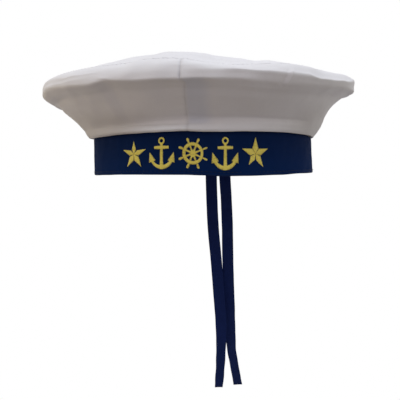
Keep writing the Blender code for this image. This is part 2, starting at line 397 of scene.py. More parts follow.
def grid_corners(columns, rows, wrap_columns=False, wrap_rows=False):
    """The four corners of each quad between a grid's points, as column and row. A wrapped side counts on past
    its last line."""
    i = np.arange(columns if wrap_columns else columns - 1)
    j = np.arange(rows if wrap_rows else rows - 1)
    i, j = (index.ravel() for index in np.meshgrid(i, j, indexing="ij"))
    return (i, j), (i + 1, j), (i + 1, j + 1), (i, j + 1)


def grid_faces(corners, columns, rows):
    return np.stack([(a % columns) * rows + b % rows for a, b in corners], axis=1)


def grid_mesh(name, points, uvs, **wraps):
    """A mesh of quads over a grid of points. A wrapped side of uvs has one more line than points has."""
    columns, rows = points.shape[:2]
    corners = grid_corners(columns, rows, **wraps)
    mesh = bpy.data.meshes.new(name)
    mesh.from_pydata(points.reshape(-1, 3).tolist(), [], grid_faces(corners, columns, rows).tolist())
    layer = mesh.uv_layers.new(name=CLOTH_MAP)
    layer.data.foreach_set("uv", np.stack([uvs[a, b] for a, b in corners], axis=1).ravel())
    return mesh


def faces_mesh(name, points, faces, uvs):
    """A mesh of any faces, with one place on the cloth for each point."""
    mesh = bpy.data.meshes.new(name)
    mesh.from_pydata(points.reshape(-1, 3).tolist(), [], faces)
    loops = np.zeros(len(mesh.loops), dtype=int)
    mesh.loops.foreach_get("vertex_index", loops)
    mesh.uv_layers.new(name=CLOTH_MAP).data.foreach_set("uv", uvs[loops].ravel())
    return mesh


def add_attribute(mesh, name, values):
    attribute = mesh.attributes.new(name, "FLOAT", "POINT")
    attribute.data.foreach_set("value", np.asarray(values, dtype=float).ravel())


def give_wall(piece, thickness):
    """Thickness inwards for a piece that is one surface."""
    wall = piece.modifiers.new("wall", "SOLIDIFY")
    wall.thickness = thickness
    wall.offset = -1
    wall.use_even_offset = True
    wall.thickness_clamp = 0.6


# ---------------------------------------------------------------- materials

# pitch of the threads of the white cloth, the twill and the ribbon, and of the sewing threads' twist
WARP_PITCH = 0.00042
WEFT_PITCH = 0.00046
TWILL_PITCH = 0.0007
TWILL_YARN_PITCH = 0.00034
RIB_PITCH = 0.0009
RIBBON_YARN_PITCH = 0.0004
TWIST_PITCH = 0.0006
SHADER_INPUTS = {
    "base": "Base Color",
    "rough": "Roughness",
    "specular": "Specular IOR Level",
    "sheen": "Sheen Weight",
    "sheen_rough": "Sheen Roughness",
    "normal": "Normal",
}


class Nodes:
    """Short names for making the nodes of a material or the world."""

    def __init__(self, owner):
        owner.use_nodes = True
        self.owner = owner
        self.tree = owner.node_tree

    def add(self, kind, *values, **settings):
        """A new node with these settings and with these values for its first inputs."""
        node = self.tree.nodes.new(kind)
        for key, setting in settings.items():
            setattr(node, key, setting)
        for value, socket in zip(values, node.inputs):
            self.link(value, socket)
        return node

    def link(self, source, target):
        """Joins an output to the target, or gives the target a number, direction or colour."""
        if isinstance(source, bpy.types.NodeSocket):
            self.tree.links.new(source, target)
        else:
            target.default_value = (*source, 1) if target.type == "RGBA" else source

    def math(self, operation, *values):
        return self.add("ShaderNodeMath", *values, operation=operation).outputs[0]

    def vector_math(self, operation, *values):
        return self.add("ShaderNodeVectorMath", *values, operation=operation).outputs

    def cloth_place(self):
        """Metres across and along the cloth."""
        place = self.add("ShaderNodeUVMap", uv_map=CLOTH_MAP)
        parts = self.add("ShaderNodeSeparateXYZ", place.outputs["UV"])
        return parts.outputs["X"], parts.outputs["Y"]

    def noise(self, size, detail):
        """Noise in the object's own space, in blobs of about size metres."""
        place = self.add("ShaderNodeTexCoord")
        noise = self.add("ShaderNodeTexNoise")
        self.link(place.outputs["Object"], noise.inputs["Vector"])
        self.link(1 / size, noise.inputs["Scale"])
        self.link(detail, noise.inputs["Detail"])
        return noise.outputs["Fac"]

    def sine(self, value, pitch, shift=0.0):
        return self.math("SINE", self.math("MULTIPLY_ADD", value, 2 * pi / pitch, shift))

    def attribute(self, name):
        return self.add("ShaderNodeAttribute", attribute_name=name).outputs["Fac"]

    def mix(self, share, a, b):
        node = self.add("ShaderNodeMix", data_type="RGBA")
        self.link(share, node.inputs["Factor"])
        self.link(a, node.inputs["A"])
        self.link(b, node.inputs["B"])
        return node.outputs["Result"]

    def bump(self, height, depth, strength, below=None):
        node = self.add("ShaderNodeBump")
        self.link(height, node.inputs["Height"])
        self.link(depth, node.inputs["Distance"])
        self.link(strength, node.inputs["Strength"])
        if below is not None:
            self.link(below, node.inputs["Normal"])
        return node.outputs["Normal"]

    def finish(self, **values):
        """Gives the material's shader these values, and returns the material."""
        for key, value in values.items():
            self.link(value, self.tree.nodes["Principled BSDF"].inputs[SHADER_INPUTS[key]])
        return self.owner


def new_material(name):
    return Nodes(bpy.data.materials.new(name))


def crown_cloth():
    n = new_material("White cotton cloth")
    across, along = n.cloth_place()
    weave = n.math("MULTIPLY", n.sine(across, WARP_PITCH), n.sine(along, WEFT_PITCH))
    slub = n.noise(0.0035, 3.0)
    weave = n.math("MULTIPLY", weave, n.math("MULTIPLY_ADD", slub, 1.2, 0.3))
    rumple = n.noise(0.011, 4.0)
    broad = n.noise(0.045, 2.0)
    normal = n.bump(rumple, 0.0009, 0.5)
    normal = n.bump(weave, 0.00005, 0.6, normal)
    tone = n.math("MULTIPLY_ADD", broad, 0.7, n.math("MULTIPLY", slub, 0.3))
    base = n.mix(tone, (0.775, 0.765, 0.772), (0.835, 0.828, 0.838))
    # painted shade: a darker, cooler stripe beside each seam
    base = n.mix(n.attribute("seam_side_shade"), base, (0.70, 0.715, 0.77))
    # painted light: a lighter strip of cloth above the band
    base = n.mix(n.attribute("painted_strip_light"), base, (0.93, 0.955, 0.985))
    # painted shade on the sides of the crown near the band
    base = n.mix(n.attribute("shaded"), base, (0.60, 0.58, 0.57))
    # the seams are darkened by soiling and by painted shade, with dashes of painted shadow where puckers
    # bunch
    marking = n.attribute("seam")
    base = n.mix(n.math("MULTIPLY", marking, 0.5), base, (0.52, 0.51, 0.53))
    rough = n.math("MULTIPLY_ADD", slub, 0.12, 0.8)
    return n.finish(base=base, rough=rough, specular=0.2, sheen=0.12, sheen_rough=0.6, normal=normal)


def band_cloth():
    n = new_material("Navy twill")
    across, along = n.cloth_place()
    twill = n.sine(n.math("ADD", across, along), TWILL_PITCH)
    yarn = n.sine(n.math("SUBTRACT", across, along), TWILL_YARN_PITCH)
    weave = n.math("MULTIPLY_ADD", yarn, 0.35, twill)
    rumple = n.noise(0.009, 3.0)
    normal = n.bump(rumple, 0.0005, 0.5)
    normal = n.bump(weave, 0.00006, 0.8, normal)
    marking = n.math("MULTIPLY", n.attribute("edge"), n.noise(0.002, 3.0))
    base = n.mix(n.noise(0.006, 4.0), (0.0032, 0.0135, 0.060), (0.0055, 0.0195, 0.082))
    # painted shade and light: the band is darker at its top under the crown, lighter and bluer towards its
    # lower edge
    base = n.mix(n.math("MULTIPLY", n.attribute("low"), 0.6), base, (0.0036, 0.0240, 0.112))
    base = n.mix(n.math("MULTIPLY", marking, 0.35), base, (0.03, 0.05, 0.13))
    return n.finish(base=base, rough=0.9, specular=0.03, sheen=0.012, sheen_rough=0.5, normal=normal)


def ribbon_cloth():
    n = new_material("Navy grosgrain ribbon")
    across, along = n.cloth_place()
    ribs = n.sine(along, RIB_PITCH)
    yarn = n.math("MULTIPLY", n.sine(across, RIBBON_YARN_PITCH), n.sine(along, RIB_PITCH, pi / 2))
    weave = n.math("MULTIPLY_ADD", yarn, 0.3, ribs)
    normal = n.bump(n.noise(0.006, 3.0), 0.0004, 0.4)
    normal = n.bump(weave, 0.00008, 0.8, normal)
    base = n.mix(n.noise(0.008, 3.0), (0.0080, 0.0175, 0.088), (0.0105, 0.0240, 0.115))
    return n.finish(base=base, rough=0.7, specular=0.06, sheen=0.02, sheen_rough=0.4, normal=normal)


def thread(name, dark, light, **finish):
    n = new_material(name)
    across, along = n.cloth_place()
    twist = n.sine(n.math("MULTIPLY_ADD", across, 0.5, along), TWIST_PITCH)
    tone = n.math("MULTIPLY_ADD", n.attribute("tone"), 0.8, n.math("MULTIPLY", n.noise(0.004, 2.0), 0.2))
    return n.finish(base=n.mix(tone, dark, light), normal=n.bump(twist, 0.00003, 0.6), **finish)


# ---------------------------------------------------------------- the crown


def around(table, angles):
    """The table's columns at these angles, with a soft change from row to row."""
    wrapped = (np.asarray(angles, dtype=float) + 180) % 360 - 180
    index = np.clip(np.searchsorted(table[:, 0], wrapped, side="right") - 1, 0, len(table) - 2)
    start, end = table[index], table[index + 1]
    share = smooth((wrapped - start[..., 0]) / (end[..., 0] - start[..., 0]))
    return [blend(start[..., k], end[..., k], share) for k in range(1, table.shape[1])]


def rim_at(angles):
    return RimPlace(*around(RIM, angles))


def on_cap(angles, half_width, height, out, twist):
    turn = np.radians(angles + twist)
    length = half_width * blend(HEAD_OVAL, RIM_OVAL, out)
    return np.stack((half_width * np.sin(turn) + RIM_LEAN * out, -length * np.cos(turn), height), axis=-1)


def crown_rows(angles):
    """Half width, height, share out and twist of each row of the side, from the band to the tip seam."""
    rim = rim_at(angles)
    _, lift, lean = around(BAND_EDGE, angles)
    bottom = BAND_HEIGHT + lift + SEAM_GAP
    inner = BAND_HALF_WIDTH + lean
    from_seam = np.minimum(angles % 90, -angles % 90)
    rim_half_width = RIM_HALF_WIDTH - SEAM_PINCH * bell(from_seam, SEAM_PINCH_WIDTH)
    under_twist = RIM_TWIST + FRONT_TWIST * bell(angles, FRONT_TWIST_WIDTH)
    rows = []
    for rise, straight, flared, collared, tuck in UNDERSIDE:
        out = blend(blend(straight, flared, rim.flare), collared, rim.collar) - tuck * rim.tuck
        half_width = blend(inner, rim_half_width - rim.inset, out)
        twist = blend(BAND_TWIST, under_twist, np.maximum(out, 0) ** UNDER_TWIST_POWER)
        rows.append((half_width, blend(bottom, rim.low, rise), out, twist))
    corner = np.minimum(CORNER, (rim.high - rim.low) * CORNER_SHARE)
    low = rim.low + corner * (1 - rim.crease) + STRAIGHT_CORNER_RISE * (1 - rim.flare) * (1 - rim.collar)
    high = rim.high - corner * (1 - RIDGE_SHARPNESS * rim.ridge)
    whole = np.ones_like(rim.low)
    for inset, height in (
        (rim.inset, low),
        (MIDDLE_INSET * rim.inset + MIDDLE_SLOPE * rim.slope, (low + high) / 2),
        (rim.slope, high),
    ):
        rows.append((rim_half_width - inset, height, whole, RIM_TWIST * whole))
    for soft_in, soft_rise, ridge_in, ridge_rise in UPPER_SIDE:
        inward = blend(soft_in, ridge_in, rim.ridge)
        half_width = blend(rim_half_width, rim.reach, inward)
        height = blend(rim.high, rim.seam, blend(soft_rise, ridge_rise, rim.ridge))
        rows.append((half_width, height, whole, blend(RIM_TWIST, TIP_TWIST, inward)))
    return np.stack([np.stack(row, axis=-1) for row in rows], axis=-2)


def fold_rise(angles, up):
    """Height of all the folds at these places of the side's cloth."""
    rise = np.zeros_like(up)
    side = np.radians(angles) * RIM_HALF_WIDTH
    for fold in FOLDS:
        start = np.array((radians(fold.angle_a) * RIM_HALF_WIDTH, fold.up_a * MM))
        end = np.array((radians(fold.angle_b) * RIM_HALF_WIDTH, fold.up_b * MM))
        run = end - start
        length = np.linalg.norm(run)
        run = run / length
        along = (side - start[0]) * run[0] + (up - start[1]) * run[1]
        across = (up - start[1]) * run[0] - (side - start[0]) * run[1]
        fade = FOLD_FADE * length
        taper = smooth(along / fade + 0.5) * smooth((length - along) / fade + 0.5)
        rise += fold.rise * MM * bell(across, fold.width * MM) * taper
    return rise


def tip_seam_ripple(points, angle, inward, pitch, reach, seed):
    """Ripples along the tip seam, bunched up beside the front seam."""
    arc = np.radians(angle) * TIP_SEAM_HALF_WIDTH
    phase = 2 * pi * arc / pitch + undulation(points, *RIPPLE_DRIFT, seed)
    bunched = EVEN_RIPPLE + hump(angle, *BUNCHED_RIPPLE)
    return PUCKER * bunched * np.exp(-inward / reach) * np.sin(phase)


def crown_relief(points, angle, up, from_seam, upper):
    """How far the seams, pressed edges, puckers, waves and folds stand off the side's plain surface."""
    down = up[:, -1:] - up
    dip = blend(SEAM_DIP_UNDER, SEAM_DIP_OVER, upper)
    seams = -dip * bell(from_seam, SEAM_DIP_WIDTH) + SEAM_SWELL * bell(from_seam, SEAM_SWELL_WIDTH)
    low_edge, high_edge = around(RIM_EDGES, angle)
    at_low = up[:, LOW_CORNER_ROW * PROFILE_STEPS, None]
    at_high = up[:, HIGH_CORNER_ROW * PROFILE_STEPS, None] + HIGH_EDGE_SHIFT
    pressed = low_edge * np.exp(-np.abs(up - at_low) / PRESSED_WIDTH)
    pressed += high_edge * np.exp(-np.abs(up - at_high) / PRESSED_WIDTH)
    phase = 2 * pi * up / PUCKER_PITCH + undulation(points, *PUCKER_DRIFT)
    pucker = PUCKER * np.exp(-from_seam / PUCKER_REACH) * np.sin(phase)
    pucker = pucker * (PUCKER_MEAN + undulation(points, *PUCKER_CHANGE))
    ripple = tip_seam_ripple(points, angle, down, *SIDE_RIPPLE)
    tip_dip = -TIP_SEAM_DIP * bell(down, TIP_SEAM_DIP_WIDTH)
    hold = smooth(up / BAND_HOLD), smooth(down / SIDE_SEAM_HOLD)
    soft = sum(undulation(points, *wave) * hold[0] * hold[1] for wave in SIDE_WAVES)
    return seams + pressed + pucker + ripple + tip_dip + soft + fold_rise(angle + 0 * up, up)


def crown_marks(points, angle, up, from_seam, row, upper):
    """Shares of seam soiling with painted shade, painted shade by the seams and on the sides, painted light
    above the band.
    """
    down = up[:, -1:] - up
    arc = np.radians(angle) * TIP_SEAM_HALF_WIDTH
    # seams darkened by soiling and painted shade; the bunch adds dashes of painted shadow from puckers by the
    # front seam
    along_seam = SEAM_MARK + hump(down, *TOP_SEAM_MARK) + hump(row - LOW_CORNER_ROW, *RIM_SEAM_MARK)
    phase = 2 * pi * arc / DASH_PITCH + undulation(points, *DASH_DRIFT)
    bunch = hump(angle, *BUNCH_PLACE) * (DASH_MEAN + DASH_CHANGE * np.sin(phase))
    seam = bell(from_seam, SEAM_MARK_WIDTH) * blend(UNDER_SEAM_MARK, along_seam, upper)
    seam += hump(down, *TIP_SEAM_MARK) + bunch * hump(down, *BUNCH_MARK)
    past_seam = (radians(1) * (angle % 90)) * np.linalg.norm(points[..., :2], axis=-1)
    # painted shade in a stripe beside each seam, full at the front and half as strong elsewhere
    seam_side_shade = np.where(np.abs(angle) < FRONT_REACH, 1.0, UNSEEN_ALLOWANCE)
    seam_side_shade = seam_side_shade * smooth(past_seam / ALLOWANCE_START + 0.25)
    seam_side_shade = seam_side_shade * smooth((ALLOWANCE - past_seam) / ALLOWANCE_FADE + 0.5)
    seam_side_shade = seam_side_shade * (1 - upper) * smooth((up - ALLOWANCE_FOOT) / ALLOWANCE_FOOT_FADE)
    # painted light on the strip of cloth just above the band
    shown = sum(hump(angle, *place) for place in STRIP_LIGHT_PLACES)
    painted_strip_light = shown * smooth((STRIP_LIGHT_TOP - up) / STRIP_LIGHT_FADE + 0.5)
    # painted shade on the sides near the band
    left, right = SHADE_STARTS
    away = np.where(angle < 0, left - angle, angle - right)
    shaded = SHADE * smooth(away / SHADE_SPREAD) * smooth((SHADE_TOP - up) / SHADE_TOP_FADE)
    return {"seam": seam + 0 * row, "seam_side_shade": seam_side_shade, "painted_strip_light": painted_strip_light, "shaded": shaded}


def crown_side(angles):
    """Points of the side's fine surface, its cloth map and the marks on its cloth."""
    angle = angles[:, None]
    rows = curve_through(crown_rows(angles), PROFILE_STEPS, 2)
    points = on_cap(angle, rows[..., 0], rows[..., 1], rows[..., 2], rows[..., 3])
    normals = unit(np.cross(np.gradient(points, axis=0), np.gradient(points, axis=1)))
    up = length_along(points, 1)
    row = np.linspace(0, TIP_SEAM_ROW, points.shape[1])[None, :]
    upper = smooth(row - LOW_CORNER_ROW + 0.5)
    turn = np.abs((angles + 45) % 90 - 45)
    from_seam = (np.radians(turn) * np.linalg.norm(points[..., :2], axis=-1).T).T
    relief = crown_relief(points, angle, up, from_seam, upper)
    points = points + normals * relief[..., None]
    uvs = np.stack((np.radians(angle) * CLOTH_MAP_RADIUS + 0 * up, up), axis=-1)
    return points, uvs, crown_marks(points, angle, up, from_seam, row, upper)


def make_panels(material):
    gap = degrees(PANEL_GAP / 2 / RIM_HALF_WIDTH)
    starts = {
        "side_panel_back_left": -180,
        "side_panel_front_left": -90,
        "side_panel_front_right": 0,
        "side_panel_back_right": 90,
    }
    even = np.linspace(-1, 1, PANEL_COLUMNS + 1)
    shares = 0.5 + 0.5 * np.sign(even) * (1 - (1 - np.abs(even)) ** PANEL_EDGE_CROWDING)
    for node, start in starts.items():
        points, uvs, marks = crown_side(blend(start + gap, start + 90 - gap, shares))
        mesh = grid_mesh(node + "_cloth", points, uvs)
        for name, values in marks.items():
            add_attribute(mesh, name, values)
        piece = new_object(node + "_cloth", mesh, material, node, slot="white_crown_cloth")
        give_wall(piece, CLOTH_WALL)


def tip_points(angles, shares):
    rim = rim_at(angles)
    half_width = (rim.reach - TIP_GAP) * shares
    points = on_cap(angles, half_width, rim.seam, np.ones_like(rim.seam), TIP_TWIST)
    points[..., 2] = blend(TIP_MIDDLE_HEIGHT, rim.seam, shares**TIP_FULLNESS)
    for side, width, rise in TIP_WAVES:
        points[..., 2] += rise * bell(points[..., 0] - RIM_LEAN - side, width) * (1 - shares**2)
    return points


def make_tip(material):
    angles = np.linspace(-180, 180, TIP_COLUMNS, endpoint=False)[:, None]
    shares = 1 - (1 - np.linspace(TIP_FIRST_RING, 1, TIP_RINGS)) ** TIP_EDGE_CROWDING
    shares = np.maximum(shares, TIP_FIRST_RING)[None, :]
    points = tip_points(angles + 0 * shares, shares + 0 * angles)
    inward = (1 - shares) * TIP_SEAM_HALF_WIDTH
    rise = tip_seam_ripple(points, angles, inward, *TIP_RIPPLE)
    rise -= TIP_SEAM_DIP * bell(inward, TIP_SEAM_DIP_WIDTH)
    hold = smooth(inward / TIP_SEAM_HOLD)
    rise += sum(undulation(points, *wave) * hold for wave in TIP_CLOTH_WAVES)
    points[..., 2] += rise
    middle = TIP_COLUMNS * TIP_RINGS
    quads = grid_faces(grid_corners(TIP_COLUMNS, TIP_RINGS, wrap_columns=True), TIP_COLUMNS, TIP_RINGS)
    faces = quads[:, ::-1].tolist()
    faces += [(ring, (ring + TIP_RINGS) % middle, middle) for ring in range(0, middle, TIP_RINGS)]
    points = np.append(points.reshape(-1, 3), points[:, :1].mean(axis=0), axis=0)
    mesh = faces_mesh("crown_tip_cloth", points, faces, points[:, :2])
    # the tip's edge darkened by soiling and painted shade along its seam
    add_attribute(mesh, "seam", np.append((bell(inward, TIP_EDGE_MARK_WIDTH) + 0 * angles).ravel(), 0))
    piece = new_object("crown_tip_cloth", mesh, material, "crown_tip", slot="white_crown_cloth")
    give_wall(piece, CLOTH_WALL)


# ---------------------------------------------------------------- the head band

BAND_OUTSIDE_ROWS = 44
BAND_INSIDE_ROWS = 16
BAND_BEND_ROWS = 7
BACK_SEAM_DIP = 0.0006


def band_points(angles, heights, out=0.0):
    """Places on the band's outer face, out metres off it."""
    high = heights / BAND_HEIGHT
    sag, lift, lean = around(BAND_EDGE, angles)
    ripple = BAND_RIPPLE * np.sin(np.radians(angles) * BAND_RIPPLES - BAND_RIPPLE_START)
    ripple = ripple * (1 - BAND_RIPPLE_TOP_SHARE * high)
    half_width = BAND_HALF_WIDTH + out + lean * high + ripple
    turn = np.radians(angles + BAND_TWIST)
    length = half_width * HEAD_OVAL
    height = heights - sag * (1 - high) + lift * high
    return np.stack((half_width * np.sin(turn), -length * np.cos(turn), height + 0 * turn), axis=-1)


def band_section():
    """How far out and how high each row of the band lies, all round its folded section."""
    fold = BAND_WALL / 2
    bend = np.radians(np.linspace(0, 180, BAND_BEND_ROWS + 2))[1:-1]
    bottom, top = fold, BAND_HEIGHT - fold
    outside = [(0.0, h) for h in np.linspace(top, bottom, BAND_OUTSIDE_ROWS)]
    under = [(-fold + fold * cos(b), bottom - fold * sin(b)) for b in bend]
    inside = [(-BAND_WALL, h) for h in np.linspace(bottom, top, BAND_INSIDE_ROWS)]
    over = [(-fold - fold * cos(b), top + fold * sin(b)) for b in bend]
    return np.array(outside + under + inside + over)[::-1]


def make_band(material):
    angles = np.linspace(-180, 180, BAND_COLUMNS, endpoint=False)[:, None]
    loop = band_section()
    out, heights = loop[:, 0][None, :], loop[:, 1][None, :]
    outer = out > -BAND_WALL / 2
    from_back = np.radians(np.abs((angles + 360) % 360 - 180)) * BAND_HALF_WIDTH
    dip = -BACK_SEAM_DIP * bell(from_back, BACK_SEAM_DIP) * outer
    base = band_points(angles + 0 * heights, heights + 0 * angles, out + dip)
    stuffed = sum(undulation(base, *wave) for wave in BAND_WAVES)
    base[..., :2] *= 1 + (stuffed * outer)[..., None] / BAND_HALF_WIDTH
    girth = np.concatenate(([0.0], np.cumsum(np.linalg.norm(np.diff(loop, axis=0), axis=1))))
    girth = np.append(girth, girth[-1] + np.linalg.norm(loop[0] - loop[-1]))
    arc = np.radians(np.append(angles[:, 0], 180.0)) * BAND_HALF_WIDTH
    uvs = np.stack(np.meshgrid(arc, girth, indexing="ij"), axis=-1)
    mesh = grid_mesh("head_band_cloth", base, uvs, wrap_columns=True, wrap_rows=True)
    add_attribute(mesh, "edge", hump(heights, *BAND_EDGE_MARK) + 0 * angles)
    # painted shade and light down the band: darker at the top, lighter and bluer towards the lower edge
    add_attribute(mesh, "low", smooth(1 - heights / BAND_HEIGHT) + 0 * angles)
    return new_object("head_band_cloth", mesh, material, "head_band", slot="navy_band_cloth")


# ---------------------------------------------------------------- threads

THREAD_END = 0.45
STITCH_FLATNESS = 0.8
# angle of the first stitch, pitch, length and radius, and how far each point of a stitch stands off the cloth
Stitches = namedtuple("Stitches", "first pitch length radius stand_off")
TIP_STITCHES = Stitches(-179.4, 0.0034, 0.0026, 0.00019, (-0.00012, 0.00012, 0.00012, -0.00012))
TIP_STITCHES_DOWN = 0.0019
BAND_STITCHES = Stitches(-179.5, 0.0032, 0.0024, 0.0002, (-0.0001, 0.00026, 0.00026, -0.0001))
BAND_STITCHES_UP = 0.0026


def thread_mesh(name, paths, ups, radius, flat, seed, sides=6):
    """One tube for each path of points, squashed to flat of its width along ups, narrowed at its ends."""
    paths, ups = np.asarray(paths), np.asarray(ups)
    count, steps = paths.shape[:2]
    forward = unit(np.gradient(paths, axis=1))
    side = unit(np.cross(forward, ups))
    lift = np.cross(side, forward)
    turn = np.linspace(0, 2 * pi, sides, endpoint=False)
    narrow = np.ones(steps)
    narrow[[0, -1]] = THREAD_END
    width = radius * narrow[None, :, None, None]
    ring = side[:, :, None] * np.cos(turn)[:, None] + flat * lift[:, :, None] * np.sin(turn)[:, None]
    points = paths[:, :, None] + ring * width
    index = np.arange(points[..., 0].size).reshape(count, steps, sides)
    after = np.roll(index, -1, axis=2)
    quads = np.stack((index[:, :-1], index[:, 1:], after[:, 1:], after[:, :-1]), axis=-1)
    faces = quads.reshape(-1, 4).tolist()
    faces += index[:, 0].tolist() + index[:, -1, ::-1].tolist()
    run = length_along(paths, 1)
    girth = turn * radius
    uvs = np.stack(np.broadcast_arrays(girth[None, None, :], run[:, :, None]), axis=-1).reshape(-1, 2)
    mesh = faces_mesh(name, points, faces, uvs)
    tones = np.random.default_rng(seed).uniform(0, 1, count)
    add_attribute(mesh, "tone", np.repeat(tones, steps * sides))
    return mesh


def stitch_angles(stitches, half_width, oval=1.0):
    """Angles of the points of a row of stitches round the cap, one line for each stitch."""
    count = int(pi * half_width * (1 + oval) / stitches.pitch)
    starts = np.linspace(stitches.first, stitches.first + 360, count, endpoint=False)
    shares = np.linspace(0, 1, len(stitches.stand_off))
    return starts[:, None] + degrees(stitches.length / half_width) * shares[None, :]


def tip_seam_stitches(material):
    """A row of short stitches on the side's cloth, just below the tip seam."""
    angles = stitch_angles(TIP_STITCHES, TIP_SEAM_HALF_WIDTH)
    shape = (*angles.shape, 3)
    angles = angles.ravel()
    points = crown_side_at(angles)
    down = length_along(points[:, ::-1], 1)[:, ::-1]
    row = np.argmin(np.abs(down - TIP_STITCHES_DOWN), axis=1)
    pick = np.arange(len(angles))
    ups = normals_each(angles, points)[pick, row].reshape(shape)
    paths = points[pick, row].reshape(shape) + ups * np.array(TIP_STITCHES.stand_off)[:, None]
    mesh = thread_mesh("tip_seam_stitches", paths, ups, TIP_STITCHES.radius, STITCH_FLATNESS, seed=6)
    return new_object("tip_seam_stitches", mesh, material, slot="white_crown_cloth")


def crown_side_at(angles):
    """The side's surface at any angles, each by itself."""
    step = 0.05
    spread = np.stack((angles - step, angles, angles + step), axis=1).ravel()
    order = np.argsort(np.argsort(spread)).reshape(-1, 3)[:, 1]
    return crown_side(np.sort(spread))[0][order]


def normals_each(angles, points):
    """Normals of the side's surface at any angles, each by itself."""
    step = 0.2
    across = crown_side_at(angles + step) - points
    return unit(np.cross(across, np.gradient(points, axis=1)))


def band_stitches(material):
    """A row of stitches round the band's lower edge."""
    angles = stitch_angles(BAND_STITCHES, BAND_HALF_WIDTH, HEAD_OVAL)
    heights = np.full_like(angles, BAND_STITCHES_UP)
    out = np.array(BAND_STITCHES.stand_off)[None, :]
    paths = band_points(angles, heights, out)
    ups = band_points(angles, heights, out + MM) - paths
    mesh = thread_mesh("band_edge_stitches", paths, ups, BAND_STITCHES.radius, STITCH_FLATNESS, seed=7)
    return new_object("band_edge_stitches", mesh, material, slot="navy_band_cloth")


# ---------------------------------------------------------------- the embroidery

THREAD_PITCH = 0.30
THREAD_RADIUS = 0.00019
THREAD_FLATNESS = 0.75
THREAD_SCATTER = 0.045
UNEVEN_LIFT = 0.03
# how far a thread stands off the band from end to end, in mm, and its share of that where it is short
THREAD_BOW = (-0.06, 0.20, 0.34, 0.34, 0.20, -0.06)
SHORT_BOW = 0.45
LONG_THREAD = 5
MOTIF_MIDDLE = (3.4, 14.9)
MOTIF_STEP = 23.2


def stroke(ends, widths, lift=0.0):
    """Threads side by side across a straight stroke: the ends of each in mm, and how much it is lifted."""
    start, end = np.array(ends)
    length = np.linalg.norm(end - start)
    along = (end - start) / length
    across = np.array((-along[1], along[0]))
    shares = np.linspace(0, 1, max(2, round(length / THREAD_PITCH)))
    middles = start + shares[:, None] * length * along
    half = np.interp(shares, np.linspace(0, 1, len(widths)), widths)[:, None] / 2
    return [(a, b, lift) for a, b in zip(middles - across * half, middles + across * half)]


def arc(middle, radius, start, end, widths, lift=0.0):
    """Threads laid across a stroke that follows a circle."""
    count = max(6, round(abs(radians(end - start)) * radius / THREAD_PITCH))
    shares = (np.arange(count) + 0.5) / count
    turns = np.radians(blend(start, end, shares))
    spokes = np.stack((np.cos(turns), np.sin(turns)), axis=-1)
    half = np.interp(shares, np.linspace(0, 1, len(widths)), widths)[:, None] / 2
    inner = np.array(middle) + spokes * (radius - half)
    outer = np.array(middle) + spokes * (radius + half)
    return [(a, b, lift) for a, b in zip(inner, outer)]


def star():
    threads = []
    start, waist, reach = 0.4, 3.6, 10.8
    widest, tip = 2 * waist * tan(radians(36)), 0.3
    widths = np.interp(np.linspace(start, reach, 24), (0, waist, reach), (0, widest, tip))
    for k in range(5):
        turn = radians(90 + 72 * k)
        way = np.array((cos(turn), sin(turn)))
        threads += stroke((way * start, way * reach), widths)
    return threads


def anchor():
    threads = arc((0, -1.0), 8.4, 200, 340, (2.2, 2.9, 3.2, 2.9, 2.2))
    threads += stroke(((0, 7.2), (0, -10.6)), (2.2, 2.4, 3.0), 0.12)
    threads += stroke(((-5.4, 4.3), (5.4, 4.3)), (2.0, 2.4, 2.6, 2.4, 2.0), 0.22)
    threads += arc((0, 9.0), 1.9, 0, 360, (1.3, 1.3), 0.1)
    for side in (-1, 1):
        threads += stroke(((side * 7.3, -5.4), (side * 9.2, 0.6)), (5.6, 3.2, 0.4), 0.14)
    return threads


def wheel():
    threads = arc((0, 0), 6.5, 0, 360, (2.5, 2.5))
    for k in range(8):
        turn = radians(22.5 + 45 * k)
        way = np.array((cos(turn), sin(turn)))
        threads += stroke((way * 2.2, way * 5.3), (1.5, 1.3))
        threads += stroke((way * 7.8, way * 10.9), (1.4, 1.7, 2.1, 1.4))
    hub = 2.5
    heights = np.arange(-2.3, 2.31, THREAD_PITCH)
    chords = np.sqrt(np.maximum(hub**2 - heights**2, 0.1))
    threads += [(np.array((-c, h)), np.array((c, h)), 0.12) for h, c in zip(heights, chords)]
    return threads


def make_embroidery(material):
    """Small satin-stitched signs of the sea in a row on the front of the band."""
    dice = np.random.default_rng(8)
    paths, ups = [], []
    bow = np.array(THREAD_BOW)
    shares = np.linspace(0, 1, len(bow))
    for place, motif in enumerate((star, anchor, wheel, anchor, star)):
        shift = np.array(((place - 2) * MOTIF_STEP + MOTIF_MIDDLE[0], MOTIF_MIDDLE[1]))
        for start, end, lift in motif():
            ends = np.array((start, end)) + dice.normal(0, THREAD_SCATTER, (2, 2)) + shift
            spots = blend(ends[0], ends[1], shares[:, None]) * MM
            plump = min(1.0, SHORT_BOW + np.linalg.norm(end - start) / LONG_THREAD)
            out = (bow * plump + lift + dice.uniform(0, UNEVEN_LIFT)) * MM
            angles = np.degrees(spots[:, 0] / BAND_HALF_WIDTH)
            path = band_points(angles, spots[:, 1], out)
            paths.append(path)
            ups.append(band_points(angles, spots[:, 1], out + MM) - path)
    mesh = thread_mesh("band_embroidery", paths, ups, THREAD_RADIUS, THREAD_FLATNESS, seed=9, sides=5)
    return new_object("band_embroidery", mesh, material, slot="navy_band_cloth")


# ---------------------------------------------------------------- the ribbons

RIBBON_THICKNESS = 0.0007
RIBBON_STEPS = 12
RIBBON_COLUMNS = 15
RIBBON_BOW = 0.0005
RIBBON_RIPPLE = 0.00018
RIBBON_RIPPLE_LENGTHS = (0.017, 0.029, 0.043)
RIBBON_RIPPLE_SLANT = 1.1
RIBBON_HELD = 0.03
SLANTED_END = 0.012
SELVEDGE = (0.55, 0.93, 0.06)


